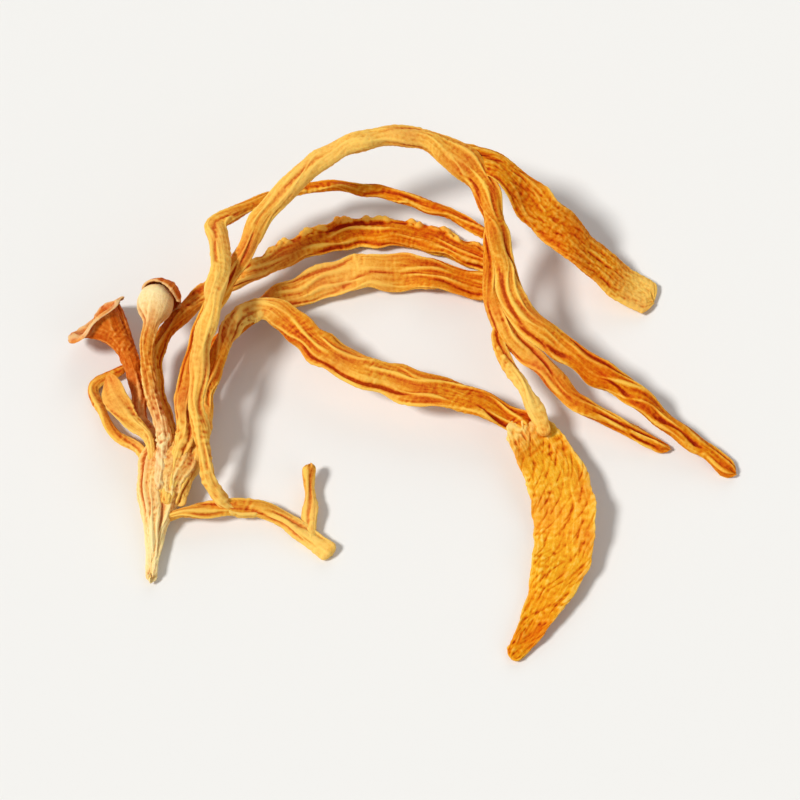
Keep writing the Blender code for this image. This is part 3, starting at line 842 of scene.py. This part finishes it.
# Name, route, slot, material, replaced nodes and shape. A pale, rough or calm place is its
# length along the stem, its half length and its strength.
STEMS = [
    ("foot", FOOT, "foot", FOOT_PALE, ["root_base"],
     dict(seed=11, groove=0.34, grooves=6, pleat=0.22, spacing=0.85, wrinkle=0.02, pits=0.06,
          ends=(0.4, 4.0), ragged=(0.3, 0.0), lumps=0.04,
          pale=[(2.5, 5.5, 1.0), (11.0, 5.0, 0.3)])),
    ("arched_stem", ARCH_AND_TAIL, "stem", ORANGE, ["stem_arch", "arch_tail"],
     dict(seed=31, turn=2.0, wrinkle=0.012, ends=(0.5, 1.2), ragged=(0.0, 0.2),
          grain=0.05, grain_from=0.32, grain_to=0.55,
          rough_spots=[(4.0, 6.0, 1.1)], calm_spots=[(43.0, 7.0, 0.25)],
          pale=[(3.0, 8.0, 0.85), (40.0, 14.0, 0.75), (70.0, 6.0, 0.3)])),
    ("lower_tail", TAIL_LOWER, "stem", ORANGE, ["tail_lower"],
     dict(seed=51, turn=-2.0, wrinkle=0.012, ends=(0.5, 1.2), ragged=(0.0, 0.2),
          pale=[(14.0, 7.0, 0.35)])),
    ("twig", TWIG, "pale_tip", ORANGE, ["tail_twig"],
     dict(seed=71, groove=0.14, grooves=2, pleat=0.15, wrinkle=0.03, sway=0.06,
          pale=[(8.5, 5.0, 1.0)])),
    ("arch_blade_skin", ARCH_BLADE, "blade", ORANGE, ["arch_blade"],
     dict(seed=91, groove=0.12, grooves=5, pleat=0.13, spacing=0.9, crease=0.08, crease_turn=14.0,
          grain=0.06, grain_from=0.30, cup=0.3, frill=0.06, frill_pitch=5.0, ends=(0.5, 0.8),
          ragged=(0.0, 0.12), lumps=0.03, pale=[(-1.5, 2.5, 0.7)])),
    ("front_stem", FRONT, "stem", ORANGE, ["stem_front"],
     dict(seed=111, groove=0.34, pleat=0.24, cup=0.12, turn=1.0,
          rough_spots=[(4.0, 6.0, 0.9), (21.0, 2.5, 1.5)],
          pale=[(3.0, 8.0, 0.85), (21.5, 3.5, 0.8), (36.0, 8.0, 0.25)])),
    ("front_blade_skin", FRONT_BLADE, "blade", BLADE, ["front_blade"],
     dict(seed=131, groove=0.05, grooves=5, pleat=0.05, spacing=1.4, wrinkle=0.024, crease=0.10,
          crease_turn=-17.0, cup=0.40, frill=0.10, frill_pitch=6.0, ends=(0.3, 0.6),
          ragged=(0.65, 0.0), lumps=0.02, rough_spots=[(0.8, 1.8, 1.2)],
          pale=[(0.0, 1.8, 0.9), (10.0, 7.0, 0.1)])),
    ("kinked_stem", KINKED, "stem", ORANGE, ["stem_kinked"],
     dict(seed=151, turn=2.0, groove=0.14, pleat=0.16, rough_spots=[(7.0, 5.0, 0.6)],
          pale=[(0.0, 16.0, 0.8), (26.0, 10.0, 0.75)])),
    ("upper_ribbon", RIBBON_UPPER, "stem", ORANGE, ["stem_ribbon_upper"],
     dict(seed=171, cup=0.25, frill=0.1, frill_pitch=3.0, grain=0.36, grain_from=0.50,
          grain_size=0.8, grain_edge=-1, rough_spots=[(4.0, 6.0, 1.0)],
          pale=[(3.0, 8.0, 0.85), (29.0, 7.0, 0.4)])),
    ("lower_ribbon", RIBBON_LOWER, "stem", ORANGE, ["stem_ribbon_lower"],
     dict(seed=191, groove=0.16, wrinkle=0.014, lumps=0.04, cup=0.25, frill=0.05,
          frill_pitch=4.0, pale=[(3.0, 8.0, 0.85), (33.0, 7.0, 0.6)])),
    ("fan_stalk", FAN_STALK, "brown_head", BROWN, ["stem_fan"],
     dict(seed=211, groove=0.14, pleat=0.16, rough_spots=[(5.0, 6.0, 0.8)],
          pale=[(2.5, 6.5, 1.0)])),
    ("knob_stem", KNOB, "pale_tip", TIP_PALE, ["stem_knob"],
     dict(seed=231, groove=0.14, pleat=0.16, lumps=0.03, sway=0.05, ends=(0.5, 0.5),
          rough_spots=[(6.0, 6.0, 0.9)], calm_spots=[(-1.6, 2.6, 0.78)],
          pale=[(3.0, 6.0, 0.75), (-1.6, 2.8, 1.0)])),
    ("folded_stem", LOOP, "stem", ORANGE, ["stem_loop"],
     dict(seed=251, groove=0.14, grooves=2, pleat=0.14,
          pale=[(1.0, 4.0, 0.8), (10.0, 4.0, 0.45)])),
    ("leaf_stem", LEAF, "stem", ORANGE, ["stem_leaf"],
     dict(seed=271, groove=0.10, pleat=0.12, cup=0.15, ends=(0.4, 1.4),
          pale=[(1.5, 4.0, 0.85), (8.5, 3.5, 0.5)])),
    ("hooked_stem", HOOKED, "stem", ORANGE, ["stem_hooked"],
     dict(seed=291, groove=0.18, lumps=0.09, pale=[(0.0, 6.0, 0.6), (17.0, 7.0, 0.95)])),
    ("hook_stub", HOOK_STUB, "stem", ORANGE, ["stem_hooked"],
     dict(seed=311, groove=0.14, grooves=2, pleat=0.14, lumps=0.14, sway=0.25, ends=(0.6, 0.6),
          ragged=(0.35, 0.0), rough_spots=[(0.5, 1.2, 1.0)], pale=[(6.0, 6.0, 0.9)])),
]

for name, route, slot, material, nodes, shape in STEMS:
    place_piece(name, stem_surface(route, **shape), material, nodes)

# The brown stalk's open mouth, and the loose skin over the back of the knob.
trumpet = bell_surface((-27.2, -1.4, 2.2), (-28.7, 2.1, 2.7), (-31.2, 4.9, 2.7), seed=221)
place_piece("fan_trumpet", trumpet, BROWN, ["stem_fan"])
hood = hood_surface((-24.85, 5.35, 5.9), (0.50, 0.82, -0.20), 2.2, 1.3, 0.28, seed=241)
place_piece("knob_hood", hood, BROWN, ["stem_knob"])


# ---------------------------------------------------------------------------
# Table, light and camera
# ---------------------------------------------------------------------------


def aim(thing, target):
    """Turns a light or camera to face a point."""
    way = Vector(target) - thing.location
    thing.rotation_mode = "QUATERNION"
    thing.rotation_quaternion = way.to_track_quat("-Z", "Y")


def set_table():
    """Lays a large matt white table top under the tuft."""
    mesh = bpy.data.meshes.new("table_top")
    half = 3.0
    corners = [(-half, -half, 0), (half, -half, 0), (half, half, 0), (-half, half, 0)]
    mesh.from_pydata(corners, [], [(0, 1, 2, 3)])
    table = bpy.data.objects.new("table_top", mesh)
    bpy.context.scene.collection.objects.link(table)
    # Uncoated white card: pale and quite without gloss.
    material = bpy.data.materials.new("matt_white_card")
    material.use_nodes = True
    shader = material.node_tree.nodes["Principled BSDF"]
    shader.inputs["Base Color"].default_value = linear("#EAEAE8")
    shader.inputs["Roughness"].default_value = 0.9
    mesh.materials.append(material)


def soft_light(name, place, strength, spread, colour="#FFFFFF"):
    """Shines an even studio light from a place toward the tuft, as wide as its spread."""
    data = bpy.data.lights.new(name, "SUN")
    data.energy = strength
    data.angle = math.radians(spread)
    data.color = linear(colour)[:3]
    lamp = bpy.data.objects.new(name, data)
    lamp.location = place
    aim(lamp, (0, 0, 0.004))
    bpy.context.scene.collection.objects.link(lamp)


def set_sky():
    """Fills the shadows with an even white sky, drawn pale where the camera sees past the table."""
    world = bpy.data.worlds.new("studio")
    world.use_nodes = True
    tree = world.node_tree
    sky = tree.nodes["Background"]
    sky.inputs["Color"].default_value = (1.0, 1.0, 1.0, 1.0)
    seen = add(tree, "ShaderNodeLightPath").outputs["Is Camera Ray"]
    glow = add(tree, "ShaderNodeMapRange", {"To Min": 0.275, "To Max": 0.95}, {"Value": seen})
    tree.links.new(glow.outputs[0], sky.inputs["Strength"])
    bpy.context.scene.world = world


def set_camera():
    """Looks down on the tuft from the front, with a long lens."""
    data = bpy.data.cameras.new("camera")
    data.lens = 100
    data.clip_start = 0.01
    camera = bpy.data.objects.new("camera", data)
    elevation = math.radians(62)
    distance = 0.218
    target = Vector((-0.0003, -0.0005, 0.004))
    camera.location = target + distance * Vector((0, -math.cos(elevation), math.sin(elevation)))
    aim(camera, target)
    bpy.context.scene.collection.objects.link(camera)
    bpy.context.scene.camera = camera


set_table()
soft_light("key", (-0.30, -0.10, 0.40), 2.75, 13, "#FFFDFA")
soft_light("fill", (0.40, -0.30, 0.30), 0.42, 46)
soft_light("back", (0.10, 0.45, 0.30), 0.46, 40)
set_sky()
set_camera()
bpy.context.scene.view_settings.view_transform = "Standard"
